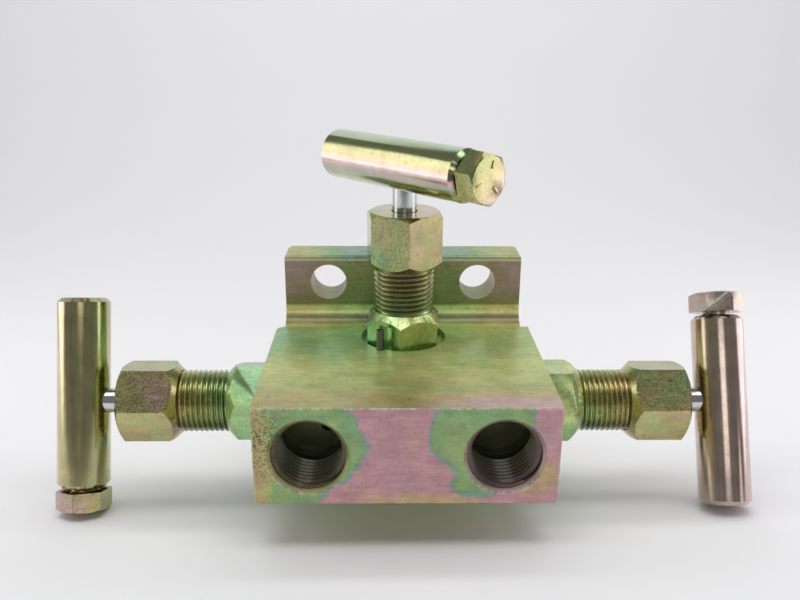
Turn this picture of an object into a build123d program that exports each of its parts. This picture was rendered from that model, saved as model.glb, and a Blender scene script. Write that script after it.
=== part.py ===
from build123d import *
import os

# A three-valve manifold for a pressure instrument: one steel block with a mounting flange,
# two pipe ports, and three needle valves, each turned by a T-bar handle.
# The two side valves shut off the lines and the top valve joins them to equalise pressure.
# Millimetres and degrees. The origin is the centre of the flange's mounting face, +Z is up,
# the instrument bolts on from +Y and the pipe ports open towards -Y.

# Block
BLOCK_WIDTH = 84.4
BLOCK_DEPTH = 61.7
BLOCK_HEIGHT = 29.5
BLOCK_EDGE = 0.35
BLOCK_REAR_CORNER = 3.2

# Flange and the neck that joins it to the block
FLANGE_WIDTH = 79.4
FLANGE_HEIGHT = 75.8
FLANGE_THICKNESS = 13.5
FLANGE_EDGE = 1.0
FLANGE_REAR_CORNER = 2.4
NECK_FILLET = 5.5
BOLT_SPACING_X = 50.15
BOLT_SPACING_Z = 57.5
BOLT_HOLE_RADIUS = 6.03

# Pipe ports in the front face, 1/2-14 taper thread
PORT_SPACING = 53.975
PORT_THREAD_RADIUS = 10.4
PORT_MOUTH_RADIUS = 11.42
PORT_THREAD_END = 17.0
PORT_DRILL_RADIUS = 9.0
LEFT_PORT_DEPTH = 20.0
RIGHT_PORT_DEPTH = 20.8

# Outlets in the flange face and their sealing rings
OUTLET_SPACING = 53.975
OUTLET_RADIUS = 3.2
OUTLET_DEPTH = 14.0
RECESS_RADIUS = 9.2
RECESS_DEPTH = 1.6
RING_THICKNESS = 1.5
RING_HOLE_RADIUS = 6.5

# Small drillings that join ports, valves and outlets
PASSAGE_RADIUS = 2.4
EQUALISER_RADIUS = 1.6

# Valve positions
SIDE_VALVE_SETBACK = 35.7
TOP_VALVE_SETBACK = 53.4
SPOTFACE_RADIUS = 13.7
SPOTFACE_DEPTH = 2.1

# Valve seat and the pocket that the bonnet screws into, 3/4-16 thread
BONNET_THREAD_RADIUS = 9.525
CHAMBER_RADIUS = 6.0
CHAMBER_LENGTH = 5.0
SEAT_HOLE_DEPTH = 5.5
SEAT_FLOOR = 9.9
SEAL_THICKNESS = 1.5

# Bonnet, measured outward from its sealing face
HEX_ACROSS_FLATS = 22.225
HEX_LENGTH = 11.8
HEX_CROWN = 0.1
BONNET_LENGTH = 38.8
PACKING_BORE_RADIUS = 7.0
PACKING_FLOOR = 20.0

# Packing nut, gland and packing
NUT_START = 26.8
NUT_LENGTH = 18.0
NUT_CAP = 3.5
NUT_REAR_RADIUS = 9.9
NUT_FACE_RADIUS = 10.6
TOP_NUT_ADVANCE = 0.9
GLAND_LENGTH = 10.7
GLAND_COLLAR = 1.7
WASHER_THICKNESS = 1.0
PACKING_RINGS = 3

# Stem, 7/16-20 thread, and its swivel needle
STEM_RADIUS = 3.8
STEM_THREAD_RADIUS = 5.5
STEM_THREAD_LENGTH = 16.0
STEM_PITCH = 1.27
STEM_TURNS = 3.5
STEM_NOSE = 2.0
STEM_NOSE_STEP = 0.9
STEM_END_CHAMFER = 0.5
STEM_PAST_BONNET = 1.0
TOP_VALVE_OPEN_TURNS = 0.5
NEEDLE_RADIUS = 3.4
NEEDLE_TIP_RADIUS = 0.9
NEEDLE_SLOPE = 0.577
BALL_RADIUS = 2.3
BALL_COVER = 0.6
BALL_NECK_RADIUS = 1.4

# T-bar handle and its clamping bolt, 3/8-16 thread
BAR_RADIUS = 7.94
BAR_HEIGHT = 57.5
BAR_PLAIN_END = 32.0
BAR_BOLT_END = 26.4
BAR_CHAMFER = 1.3
BAR_SOCKET_PAST_AXIS = 3.2
BOLT_RADIUS = 4.7
BOLT_GAP = 1.2
BOLT_HEAD_LENGTH = 6.1
BOLT_HEAD_FLATS = 14.29
BOLT_FACE_SHARE = 0.96
BOLT_POINT_CHAMFER = 0.8

# Turned chamfers on hexagons: rise over run, and how wide their envelopes are turned,
# as a share of the size across flats, which is past the corners
CHAMFER_SLOPE = 0.577
ENVELOPE_SHARE = 0.7

# Spring pin that locks each bonnet
PIN_RADIUS = 1.15
PIN_WALL = 0.4
PIN_SLOT = 0.35
PIN_REACH = 14.2
PIN_RISE = 8.7
PIN_SUNK = 8.0
PIN_GROOVE_RADIUS = 3.95

# Clearances
RUNNING = 0.06
PACKING_GAP = 0.03
THREAD_GAP = 0.03
SEAT_GAP = 0.05
BACKSEAT_GAP = 0.3
FIT_GAP = 0.1
NUT_HOLE_GAP = 0.35
SOCKET_GAP = 0.05
PIN_GAP = 0.02

# Places worked out from the sizes above
FRONT_Y = -(FLANGE_THICKNESS + NECK_FILLET + BLOCK_DEPTH)
SHOULDER_Y = -(FLANGE_THICKNESS + NECK_FILLET)
SIDE_VALVE_Y = FRONT_Y + SIDE_VALVE_SETBACK
TOP_VALVE_Y = FRONT_Y + TOP_VALVE_SETBACK
POCKET_RADIUS = BONNET_THREAD_RADIUS + THREAD_GAP
POCKET_DEPTH = BLOCK_HEIGHT - SPOTFACE_DEPTH - SEAT_FLOOR - CHAMBER_LENGTH
SEAT_LEVEL = -(POCKET_DEPTH + CHAMBER_LENGTH)
BONNET_BOTTOM = SEAL_THICKNESS - POCKET_DEPTH
STROKE = STEM_PITCH * STEM_TURNS
STEM_BOTTOM = BONNET_BOTTOM - STEM_PAST_BONNET
THREAD_BOTTOM = STEM_BOTTOM + STEM_NOSE
THREAD_TOP = THREAD_BOTTOM + STEM_THREAD_LENGTH
BACKSEAT = THREAD_TOP + STROKE + BACKSEAT_GAP
NUT_CEILING = NUT_START + NUT_LENGTH - NUT_CAP

# Each valve: its sealing face, how far its nut is screwed down past the others, how far it
# stands open, and the turn of its bonnet, nut, handle and pin, measured round the valve from
# its front, towards +Z on the left valve, towards -Z on the right and towards +X on the top.
VALVES = {
    "left": {
        "face": Plane((-BLOCK_WIDTH / 2, SIDE_VALVE_Y, 0), (0, -1, 0), (-1, 0, 0)),
        "advance": 0.0, "lift": 0.0,
        "bonnet": 16.5, "nut": 9.0, "handle": -71.0, "bolt": 35.0, "pin": 215.0,
    },
    "right": {
        "face": Plane((BLOCK_WIDTH / 2, SIDE_VALVE_Y, 0), (0, -1, 0), (1, 0, 0)),
        "advance": 0.0, "lift": 0.0,
        "bonnet": -3.4, "nut": -10.8, "handle": -116.0, "bolt": -13.0, "pin": 145.0,
    },
    "top": {
        "face": Plane((0, TOP_VALVE_Y, BLOCK_HEIGHT / 2 - SPOTFACE_DEPTH), (0, -1, 0), (0, 0, 1)),
        "advance": TOP_NUT_ADVANCE, "lift": STEM_PITCH * TOP_VALVE_OPEN_TURNS,
        "bonnet": -5.5, "nut": 6.5, "handle": 43.0, "bolt": 13.0, "pin": -32.3,
    },
}


def turned(*outline):
    """Solid of revolution about Z through (radius, height) corners."""
    corners = [(radius, 0, height) for radius, height in outline]
    return revolve(make_face(Polyline(*corners, close=True)), Axis.Z)


def rod(radius, low, high):
    """Cylinder on Z between two heights."""
    align = (Align.CENTER, Align.CENTER, Align.MIN)
    return Pos(0, 0, low) * Cylinder(radius, high - low, align=align)


def tube(inner, outer, low, high):
    """Hollow cylinder on Z between two heights."""
    return rod(outer, low, high) - rod(inner, low - 1, high + 1)


def hexagon(across_flats, low, high):
    """Hexagonal prism on Z with a corner on +X."""
    outline = RegularPolygon(across_flats / 2, 6, major_radius=False)
    return Pos(0, 0, low) * extrude(outline, high - low)


def drilling(start, end, radius):
    """Straight round hole between two points."""
    way = Vector(*end) - Vector(*start)
    return Plane(start, z_dir=way).location * rod(radius, 0, way.length)


def in_valve(name, along, around=0.0, out=0.0):
    """Point given by its height on a valve's axis, and its angle and distance from it."""
    place = VALVES[name]["face"].location * Rot(0, 0, around) * Pos(out, 0, along)
    return tuple(place.position)


# ---------------------------------------------------------------- block and flange


def flange():
    """Upright plate, open to the instrument at +Y, with rounded rear corners and ends."""
    align = (Align.CENTER, Align.MAX, Align.CENTER)
    plate = Box(FLANGE_WIDTH, FLANGE_THICKNESS, FLANGE_HEIGHT, align=align)
    rear = plate.edges().filter_by(Axis.Z).sort_by(Axis.Y)[-2:]
    plate = fillet(rear, FLANGE_REAR_CORNER)
    ends = plate.faces().filter_by(Axis.Z)
    return fillet([edge for face in ends for edge in face.edges()], FLANGE_EDGE)


def neck():
    """Concave neck, above and below, that runs from the block into the flange."""
    align = (Align.CENTER, Align.MIN, Align.CENTER)
    height = BLOCK_HEIGHT + 2 * NECK_FILLET
    body = Pos(0, SHOULDER_Y, 0) * Box(FLANGE_WIDTH, NECK_FILLET, height, align=align)
    hollow = Rot(0, 90, 0) * Cylinder(NECK_FILLET, FLANGE_WIDTH + 2)
    for side in (-1, 1):
        body -= Pos(0, SHOULDER_Y, side * height / 2) * hollow
    return body


def block():
    """Plain block with its sharp edges broken and one rear corner rounded."""
    middle_y = FRONT_Y + BLOCK_DEPTH / 2
    body = Pos(0, middle_y, 0) * Box(BLOCK_WIDTH, BLOCK_DEPTH, BLOCK_HEIGHT)
    rear = body.edges().filter_by(Axis.Z).sort_by(Axis.X)[:2].sort_by(Axis.Y)[-1]
    body = fillet(rear, BLOCK_REAR_CORNER)
    front = body.faces().sort_by(Axis.Y)[0]
    return chamfer(front.edges(), BLOCK_EDGE)


def valve_pocket(name):
    """Pocket, seat and pin hole that one valve needs in the block."""
    pin = in_valve(name, 0, VALVES[name]["pin"], PIN_REACH)
    face = VALVES[name]["face"]
    pocket = rod(POCKET_RADIUS, -POCKET_DEPTH, 1)
    chamber = rod(CHAMBER_RADIUS, SEAT_LEVEL, 1)
    orifice = rod(PASSAGE_RADIUS, SEAT_LEVEL - SEAT_HOLE_DEPTH, 1)
    mouth = face.location * (pocket + chamber + orifice)
    pin_hole = rod(PIN_RADIUS + PIN_GAP, -PIN_SUNK, PIN_RISE)
    return mouth + Plane(pin, z_dir=face.z_dir).location * pin_hole


def port(depth):
    """One pipe port: countersunk mouth, thread wall and tap drill."""
    thread_step = PORT_MOUTH_RADIUS - PORT_THREAD_RADIUS
    return turned(
        (0, 0), (0, depth), (PORT_DRILL_RADIUS, depth),
        (PORT_DRILL_RADIUS, PORT_THREAD_END), (PORT_THREAD_RADIUS, PORT_THREAD_END),
        (PORT_THREAD_RADIUS, thread_step), (PORT_MOUTH_RADIUS, 0),
    )


def ports():
    """The two pipe ports in the front face."""
    holes = []
    for side, depth in ((-1, LEFT_PORT_DEPTH), (1, RIGHT_PORT_DEPTH)):
        mouth = Plane((side * PORT_SPACING / 2, FRONT_Y, 0), z_dir=(0, 1, 0))
        holes.append(mouth.location * port(depth))
    return holes


def outlets():
    """Two outlets in the flange face, each with a recess for its sealing ring."""
    outlet = rod(OUTLET_RADIUS, 0, OUTLET_DEPTH) + rod(RECESS_RADIUS, 0, RECESS_DEPTH)
    holes = []
    for side in (-1, 1):
        mouth = Plane((side * OUTLET_SPACING / 2, 0, 0), z_dir=(0, -1, 0))
        holes.append(mouth.location * outlet)
    return holes


def passages():
    """Drillings from ports to seats, chambers to outlets, and across the top valve."""
    below_seat = SEAT_LEVEL - SEAT_HOLE_DEPTH + PASSAGE_RADIUS
    in_chamber = SEAT_LEVEL + CHAMBER_LENGTH / 2
    holes = []
    for side, name in ((-1, "left"), (1, "right")):
        port_floor = (side * (PORT_SPACING - PORT_DRILL_RADIUS) / 2, FRONT_Y + LEFT_PORT_DEPTH - 1, 0)
        outlet_floor = (side * OUTLET_SPACING / 2, 1 - OUTLET_DEPTH, 0)
        holes.append(drilling(port_floor, in_valve(name, below_seat), PASSAGE_RADIUS))
        holes.append(drilling(outlet_floor, in_valve(name, in_chamber), PASSAGE_RADIUS))
    start_y = -RECESS_DEPTH - 1
    left_start = (-OUTLET_SPACING / 2, start_y, 0)
    right_start = (OUTLET_SPACING / 2, start_y, 0)
    holes.append(drilling(left_start, in_valve("top", in_chamber), EQUALISER_RADIUS))
    holes.append(drilling(right_start, in_valve("top", below_seat), EQUALISER_RADIUS))
    return holes


def flange_holes():
    """Four bolt holes through the flange."""
    through = rod(BOLT_HOLE_RADIUS, -1, FLANGE_THICKNESS + 1)
    corners = GridLocations(BOLT_SPACING_X, BOLT_SPACING_Z, 2, 2)
    mounting_face = Plane((0, 0, 0), (1, 0, 0), (0, -1, 0))
    return [mounting_face.location * spot * through for spot in corners]


def manifold_body():
    """Block, neck and flange in one piece, drilled for everything that it carries."""
    body = flange() + neck() + block()
    spotface = rod(SPOTFACE_RADIUS, 0, SPOTFACE_DEPTH + 2 * NECK_FILLET)
    body -= VALVES["top"]["face"].location * spotface
    for name in VALVES:
        body -= valve_pocket(name)
    for hole in ports() + outlets() + passages() + flange_holes():
        body -= hole
    return body


def flange_rings():
    """Soft sealing rings, one lying in the recess of each outlet."""
    ring = tube(RING_HOLE_RADIUS, RECESS_RADIUS - FIT_GAP, RECESS_DEPTH - RING_THICKNESS, RECESS_DEPTH)
    places = [Plane((x, 0, 0), z_dir=(0, -1, 0)) for x in (-OUTLET_SPACING / 2, OUTLET_SPACING / 2)]
    return Compound(children=[place.location * ring for place in places])


# ---------------------------------------------------------------- parts of one valve


def bonnet(pin_angle):
    """Screwed bonnet: hexagon, threads above and below it, and stepped bore for the stem."""
    crown = BONNET_THREAD_RADIUS + HEX_CROWN
    wide = ENVELOPE_SHARE * HEX_ACROSS_FLATS
    envelope = turned(
        (0, 0), (wide, 0), (wide, HEX_LENGTH + crown - wide), (crown, HEX_LENGTH), (0, HEX_LENGTH),
    )
    groove = Rot(0, 0, pin_angle) * Pos(PIN_REACH, 0, 0) * rod(PIN_GROOVE_RADIUS, -1, PIN_RISE)
    body = (hexagon(HEX_ACROSS_FLATS, 0, HEX_LENGTH) & envelope) - groove
    body += rod(BONNET_THREAD_RADIUS, BONNET_BOTTOM, BONNET_LENGTH)
    shank = STEM_RADIUS + FIT_GAP
    thread = STEM_THREAD_RADIUS + RUNNING
    bore = turned(
        (0, BONNET_BOTTOM - 1), (thread, BONNET_BOTTOM - 1), (thread, BACKSEAT),
        (shank, BACKSEAT + thread - shank), (shank, PACKING_FLOOR),
        (PACKING_BORE_RADIUS, PACKING_FLOOR), (PACKING_BORE_RADIUS, BONNET_LENGTH + 1),
        (0, BONNET_LENGTH + 1),
    )
    return body - bore


def bonnet_seal():
    """Metal sealing ring squeezed between the bonnet's end and the pocket's floor."""
    return tube(CHAMBER_RADIUS + FIT_GAP, POCKET_RADIUS - FIT_GAP, -POCKET_DEPTH, BONNET_BOTTOM)


def packing_nut(advance):
    """Hexagonal cap nut that presses the gland down on the packing."""
    start = NUT_START - advance
    end = start + NUT_LENGTH
    wide = ENVELOPE_SHARE * HEX_ACROSS_FLATS
    envelope = turned(
        (0, start), (NUT_REAR_RADIUS, start), (wide, start + wide - NUT_REAR_RADIUS),
        (wide, end - (wide - NUT_FACE_RADIUS) * CHAMFER_SLOPE), (NUT_FACE_RADIUS, end), (0, end),
    )
    body = hexagon(HEX_ACROSS_FLATS, start, end) & envelope
    body -= rod(BONNET_THREAD_RADIUS + THREAD_GAP, start - 1, NUT_CEILING - advance)
    return body - rod(STEM_RADIUS + NUT_HOLE_GAP, start, end + 1)


def gland(advance):
    """Follower with a collar under the nut and a sleeve that reaches into the packing bore."""
    top = NUT_CEILING - advance
    inner = STEM_RADIUS + FIT_GAP
    sleeve = tube(inner, PACKING_BORE_RADIUS - FIT_GAP, top - GLAND_LENGTH, top)
    collar = tube(inner, BONNET_THREAD_RADIUS - FIT_GAP, top - GLAND_COLLAR + advance / 2, top)
    return sleeve + collar


def packing_washer():
    """Steel washer under the packing."""
    top = PACKING_FLOOR + WASHER_THICKNESS
    return tube(STEM_RADIUS + FIT_GAP, PACKING_BORE_RADIUS - FIT_GAP, PACKING_FLOOR, top)


def packing(advance):
    """Stack of soft packing rings, squeezed to the height that the gland leaves."""
    low = PACKING_FLOOR + WASHER_THICKNESS
    high = NUT_CEILING - advance - GLAND_LENGTH
    step = (high - low) / PACKING_RINGS
    rings = []
    for index in range(PACKING_RINGS):
        base = low + index * step
        inner = STEM_RADIUS + PACKING_GAP
        rings.append(tube(inner, PACKING_BORE_RADIUS - PACKING_GAP, base, base + step - PACKING_GAP))
    return Compound(children=rings)


def stem():
    """Stem with its thread at the inner end, a back seat above it and a swivel socket."""
    head = BAR_HEIGHT + BAR_SOCKET_PAST_AXIS
    nose = STEM_THREAD_RADIUS - STEM_NOSE_STEP
    end = STEM_RADIUS - STEM_END_CHAMFER
    shoulder = THREAD_TOP + STEM_THREAD_RADIUS - STEM_RADIUS
    body = turned(
        (0, STEM_BOTTOM), (nose, STEM_BOTTOM), (nose, THREAD_BOTTOM - STEM_NOSE_STEP),
        (STEM_THREAD_RADIUS, THREAD_BOTTOM), (STEM_THREAD_RADIUS, THREAD_TOP),
        (STEM_RADIUS, shoulder), (STEM_RADIUS, head - STEM_END_CHAMFER), (end, head), (0, head),
    )
    centre = ball_level()
    socket = Pos(0, 0, centre) * Sphere(BALL_RADIUS + RUNNING)
    throat = rod(BALL_NECK_RADIUS + 2 * FIT_GAP, STEM_BOTTOM - 1, centre)
    return body - socket - throat


def ball_level():
    """Height of the swivel ball's centre above the sealing face."""
    return STEM_BOTTOM + BALL_RADIUS + BALL_COVER


def needle():
    """Needle that turns freely on the stem's end: cone, body, neck and swivel ball."""
    base_radius = PASSAGE_RADIUS - SEAT_GAP
    cone_top = SEAT_LEVEL + (NEEDLE_RADIUS - base_radius) / NEEDLE_SLOPE
    cone_bottom = SEAT_LEVEL - (base_radius - NEEDLE_TIP_RADIUS) / NEEDLE_SLOPE
    shoulder = STEM_BOTTOM - SEAT_GAP
    body = turned(
        (0, cone_bottom), (NEEDLE_TIP_RADIUS, cone_bottom), (NEEDLE_RADIUS, cone_top),
        (NEEDLE_RADIUS, shoulder), (BALL_NECK_RADIUS, shoulder),
        (BALL_NECK_RADIUS, ball_level()), (0, ball_level()),
    )
    return body + Pos(0, 0, ball_level()) * Sphere(BALL_RADIUS)


def handle_bar():
    """Round bar across the stem, socketed for it and tapped from one end for the bolt."""
    along_x = Rot(0, 90, 0)
    bar = rod(BAR_RADIUS, -BAR_PLAIN_END, BAR_BOLT_END)
    ends = bar.edges().filter_by(GeomType.CIRCLE)
    bar = along_x * chamfer(ends, BAR_CHAMFER)
    tapped = along_x * rod(BOLT_RADIUS + THREAD_GAP, 0, BAR_BOLT_END + 1)
    socket = rod(STEM_RADIUS + SOCKET_GAP, -BAR_RADIUS - 1, BAR_SOCKET_PAST_AXIS + SOCKET_GAP)
    return Pos(0, 0, BAR_HEIGHT) * (bar - tapped - socket)


def handle_bolt(turn):
    """Hexagon bolt in the bar's end, its point against the stem."""
    tip = STEM_RADIUS + PIN_GAP
    under_head = BAR_BOLT_END + BOLT_GAP
    top = under_head + BOLT_HEAD_LENGTH
    face = BOLT_FACE_SHARE * BOLT_HEAD_FLATS / 2
    wide = ENVELOPE_SHARE * BOLT_HEAD_FLATS
    envelope = turned(
        (0, under_head), (wide, under_head), (wide, top - (wide - face) * CHAMFER_SLOPE),
        (face, top), (0, top),
    )
    head = hexagon(BOLT_HEAD_FLATS, under_head, top) & envelope
    shank = rod(BOLT_RADIUS, tip, under_head + 1)
    shank = chamfer(shank.edges().filter_by(GeomType.CIRCLE).sort_by(Axis.Z)[0], BOLT_POINT_CHAMFER)
    return Pos(0, 0, BAR_HEIGHT) * Rot(0, 90, 0) * Rot(0, 0, turn) * (head + shank)


def lock_pin():
    """Slotted spring pin driven into the block beside the bonnet."""
    wall = tube(PIN_RADIUS - PIN_WALL, PIN_RADIUS, -PIN_SUNK, PIN_RISE)
    slot = Pos(0, PIN_RADIUS, 0) * Box(PIN_SLOT, 2 * PIN_RADIUS, 4 * PIN_RISE)
    return Pos(PIN_REACH, 0, 0) * (wall - slot)


def valve_parts(name):
    """Every piece of one valve, by node name, in place on the block."""
    valve = VALVES[name]
    lift = Pos(0, 0, valve["lift"])
    bonnet_turn = Rot(0, 0, valve["bonnet"])
    nut_turn = Rot(0, 0, valve["nut"])
    handle_turn = Rot(0, 0, valve["handle"])
    local = {
        "bonnet": bonnet_turn * bonnet(valve["pin"] - valve["bonnet"]),
        "bonnet_seal": bonnet_seal(),
        "packing_nut": nut_turn * packing_nut(valve["advance"]),
        "gland": gland(valve["advance"]),
        "packing_washer": packing_washer(),
        "packing": packing(valve["advance"]),
        "lock_pin": Rot(0, 0, valve["pin"]) * lock_pin(),
        "stem": lift * handle_turn * stem(),
        "needle": lift * needle(),
        "handle_bar": lift * handle_turn * handle_bar(),
        "handle_bolt": lift * handle_turn * handle_bolt(valve["bolt"]),
    }
    return {f"{name}_{part}": valve["face"].location * shape for part, shape in local.items()}


def main():
    os.makedirs("parts", exist_ok=True)
    nodes = {"manifold_body": manifold_body(), "flange_rings": flange_rings()}
    for name in VALVES:
        nodes.update(valve_parts(name))
    for name, shape in nodes.items():
        export_step(shape, f"parts/{name}.step")
    print(len(nodes), "nodes written")


main()
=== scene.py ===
# %% [markdown]
# # A three-valve manifold
# This is the block that sits between two pipes and a pressure gauge. One steel body carries three
# small screw-down valves, and each valve has a bonnet, a packing nut and a T-bar on its stem.
# Everything but the stems is zinc plated and passivated yellow, which leaves a film so thin that
# it shimmers in gold, pink, green and teal. The lesson follows the object: first the frame that
# gives every place, then the camera and the studio, then the finishes, then the pieces.

# %% Load the frame
import math

import bmesh
import bpy
from mathutils import Matrix, Vector


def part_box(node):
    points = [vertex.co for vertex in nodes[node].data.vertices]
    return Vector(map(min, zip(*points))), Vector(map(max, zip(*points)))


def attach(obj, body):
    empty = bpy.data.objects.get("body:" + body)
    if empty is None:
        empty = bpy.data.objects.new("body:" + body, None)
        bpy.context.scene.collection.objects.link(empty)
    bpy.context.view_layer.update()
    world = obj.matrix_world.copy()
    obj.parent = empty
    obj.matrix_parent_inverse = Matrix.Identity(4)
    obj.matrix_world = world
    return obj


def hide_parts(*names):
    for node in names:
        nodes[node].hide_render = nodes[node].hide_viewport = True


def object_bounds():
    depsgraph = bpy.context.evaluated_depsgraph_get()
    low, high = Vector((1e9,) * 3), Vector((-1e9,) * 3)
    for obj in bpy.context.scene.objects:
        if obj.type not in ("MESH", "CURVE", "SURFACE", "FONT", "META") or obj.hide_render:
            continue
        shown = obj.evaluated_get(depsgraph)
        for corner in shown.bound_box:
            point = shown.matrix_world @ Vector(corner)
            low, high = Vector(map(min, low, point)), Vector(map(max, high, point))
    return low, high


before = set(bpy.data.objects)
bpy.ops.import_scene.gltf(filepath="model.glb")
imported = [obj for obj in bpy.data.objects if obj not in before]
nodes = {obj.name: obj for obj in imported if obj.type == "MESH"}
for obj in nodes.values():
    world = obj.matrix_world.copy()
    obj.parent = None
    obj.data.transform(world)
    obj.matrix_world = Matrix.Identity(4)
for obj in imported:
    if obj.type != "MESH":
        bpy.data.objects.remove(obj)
cad_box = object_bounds()
print(len(nodes), "solid pieces, box in millimetres",
      [[round(value * 1000, 1) for value in corner] for corner in cad_box])

# %% [markdown]
# ## The camera
# The eye stands about 28 cm in front of the flange and 11 cm above the middle of the block, and it
# looks down by 19 degrees. A camera can be aimed with a constraint, but here its three axes are
# worked out and written into its matrix, because the small sideways turn and the roll matter for
# the way the edges run.

# %% Place the camera
EYE = Vector((-0.00575, -0.280386, 0.114084))
LOOK_DOWN = math.radians(18.974)
LOOK_ASIDE = -0.0179
ROLL = math.radians(0.377)
LENS = 37.28


def aim_camera():
    """Camera object whose axes are set from the three aiming angles."""
    ahead = Vector((-math.sin(LOOK_ASIDE) * math.cos(LOOK_DOWN),
                    math.cos(LOOK_ASIDE) * math.cos(LOOK_DOWN), -math.sin(LOOK_DOWN)))
    level = Vector((math.cos(LOOK_ASIDE), math.sin(LOOK_ASIDE), 0))
    above = level.cross(ahead)
    right = level * math.cos(ROLL) + above * math.sin(ROLL)
    up = above * math.cos(ROLL) - level * math.sin(ROLL)
    camera = bpy.data.objects.new("camera", bpy.data.cameras.new("camera"))
    camera.data.lens = LENS
    camera.data.sensor_width = 36
    camera.data.clip_start = 0.005
    camera.matrix_world = Matrix((
        (right.x, up.x, -ahead.x, EYE.x), (right.y, up.y, -ahead.y, EYE.y),
        (right.z, up.z, -ahead.z, EYE.z), (0, 0, 0, 1)))
    bpy.context.scene.collection.objects.link(camera)
    return camera


camera = aim_camera()
bpy.context.scene.camera = camera
print("camera at", [round(value, 4) for value in camera.location], "lens", camera.data.lens)

# %% [markdown]
# ## Where the floor is
# The manifold lies as it was put down: on the lower edge of its flange and on the ends of its two
# side handles. That is a question about a convex hull, since anything rigid rests on the face of
# its own hull that lies under its centre of mass. So the hull of all the solids is made, and the
# face that a plumb line from the middle of the block goes through is the floor.

# %% Find the plane that the object rests on


def resting_plane(balance):
    """Point and upward normal of the hull face below the balance point."""
    hull = bmesh.new()
    for solid in nodes.values():
        hull.from_mesh(solid.data)
    bmesh.ops.remove_doubles(hull, verts=hull.verts, dist=0.0005)
    made = bmesh.ops.convex_hull(hull, input=hull.verts)
    for face in [item for item in made["geom"] if isinstance(item, bmesh.types.BMFace)]:
        corners = [corner.co for corner in face.verts]
        normal = (corners[1] - corners[0]).cross(corners[2] - corners[0]).normalized()
        if abs(normal.z) < 0.5 or corners[0].z > 0:
            continue
        normal = normal if normal.z > 0 else -normal
        drop = (corners[0] - balance).dot(normal) / normal.z
        foot = balance + Vector((0, 0, drop))
        turns = [(b - a).cross(foot - a).z for a, b in zip(corners, corners[1:] + corners[:1])]
        if min(turns) * max(turns) >= 0:
            hull.free()
            return foot, normal
    hull.free()
    return Vector((0, 0, cad_box[0][2])), Vector((0, 0, 1))


floor_point, floor_normal = resting_plane(Vector((0, -0.042, 0)))
print("floor slopes", round(math.degrees(floor_normal.angle(Vector((0, 0, 1)))), 2), "degrees",
      "below the block by", round(-floor_point.z * 1000, 1), "mm")

# %% [markdown]
# ## Floor and backdrop
# A studio sweep is one sheet of white paper that lies flat and curves up behind the object, so
# no line shows where the floor ends. A bmesh grid could be bent, but a sweep is a profile pushed
# sideways, so one line of points is extruded across the whole width.

# %% Make the sweep
SWEEP_WIDTH = 6.0
SWEEP_FRONT = -1.6
SWEEP_BACK = 0.25
SWEEP_RISE = 1.6
SWEEP_TOP = 2.6
SWEEP_STEPS = 30


def paper(name, low, high):
    """Matt paper with a barely visible mottle between two greys."""
    made = bpy.data.materials.new(name)
    made.use_nodes = True
    tree = made.node_tree
    shader = tree.nodes["Principled BSDF"]
    place = tree.nodes.new("ShaderNodeTexCoord")
    mottle = tree.nodes.new("ShaderNodeTexNoise")
    mottle.inputs["Scale"].default_value = 3.0
    mottle.inputs["Detail"].default_value = 2.0
    tint = tree.nodes.new("ShaderNodeValToRGB")
    tint.color_ramp.elements[0].color = (low, low * 0.99, low * 1.01, 1)
    tint.color_ramp.elements[1].color = (high, high * 0.99, high * 1.01, 1)
    tree.links.new(place.outputs["Object"], mottle.inputs["Vector"])
    tree.links.new(mottle.outputs["Fac"], tint.inputs["Fac"])
    tree.links.new(tint.outputs["Color"], shader.inputs["Base Color"])
    shader.inputs["Roughness"].default_value = 0.9
    return made


def make_sweep():
    """Floor that curves up behind the object, extruded from one profile."""
    bm = bmesh.new()
    profile = [Vector((0, SWEEP_FRONT, 0)), Vector((0, SWEEP_BACK, 0))]
    for step in range(1, SWEEP_STEPS + 1):
        angle = math.radians(90 * step / SWEEP_STEPS)
        profile.append(Vector((0, SWEEP_BACK + SWEEP_RISE * math.sin(angle),
                               SWEEP_RISE * (1 - math.cos(angle)))))
    profile.append(Vector((0, SWEEP_BACK + SWEEP_RISE, SWEEP_TOP)))
    line = [bm.verts.new(point - Vector((SWEEP_WIDTH / 2, 0, 0))) for point in profile]
    edges = [bm.edges.new(pair) for pair in zip(line, line[1:])]
    made = bmesh.ops.extrude_edge_only(bm, edges=edges)
    across = [item for item in made["geom"] if isinstance(item, bmesh.types.BMVert)]
    bmesh.ops.translate(bm, verts=across, vec=(SWEEP_WIDTH, 0, 0))
    bmesh.ops.recalc_face_normals(bm, faces=bm.faces)
    tilt = Vector((0, 0, 1)).rotation_difference(floor_normal).to_matrix().to_4x4()
    bmesh.ops.transform(bm, matrix=Matrix.Translation(floor_point) @ tilt, verts=bm.verts)
    mesh = bpy.data.meshes.new("sweep")
    bm.to_mesh(mesh)
    bm.free()
    mesh.shade_smooth()
    mesh.materials.append(paper("white_paper", 0.85, 0.88))
    sweep = bpy.data.objects.new("sweep", mesh)
    bpy.context.scene.collection.objects.link(sweep)
    return sweep


sweep = make_sweep()
print("sweep has", len(sweep.data.polygons), "faces")

# %% [markdown]
# ## The light
# Shiny plated steel shows the room more than it shows itself. Two tall narrow panels left and right
# draw the long bright lines down the bars and stems. A small one behind the camera opens the faces
# that look to the front, and a strip overhead draws light along the fillet and the upper sides of
# the threads. Two more are there for the paper and the matt light on the metal, so reflections are
# told to pass them by. The rest of the room stays grey, which gives the metal its dark side. A dark
# card lies on the paper from below the camera outwards. It is seen in reflections only, where it
# stands for the dim part of the room behind the camera.

# %% Light the studio


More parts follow.
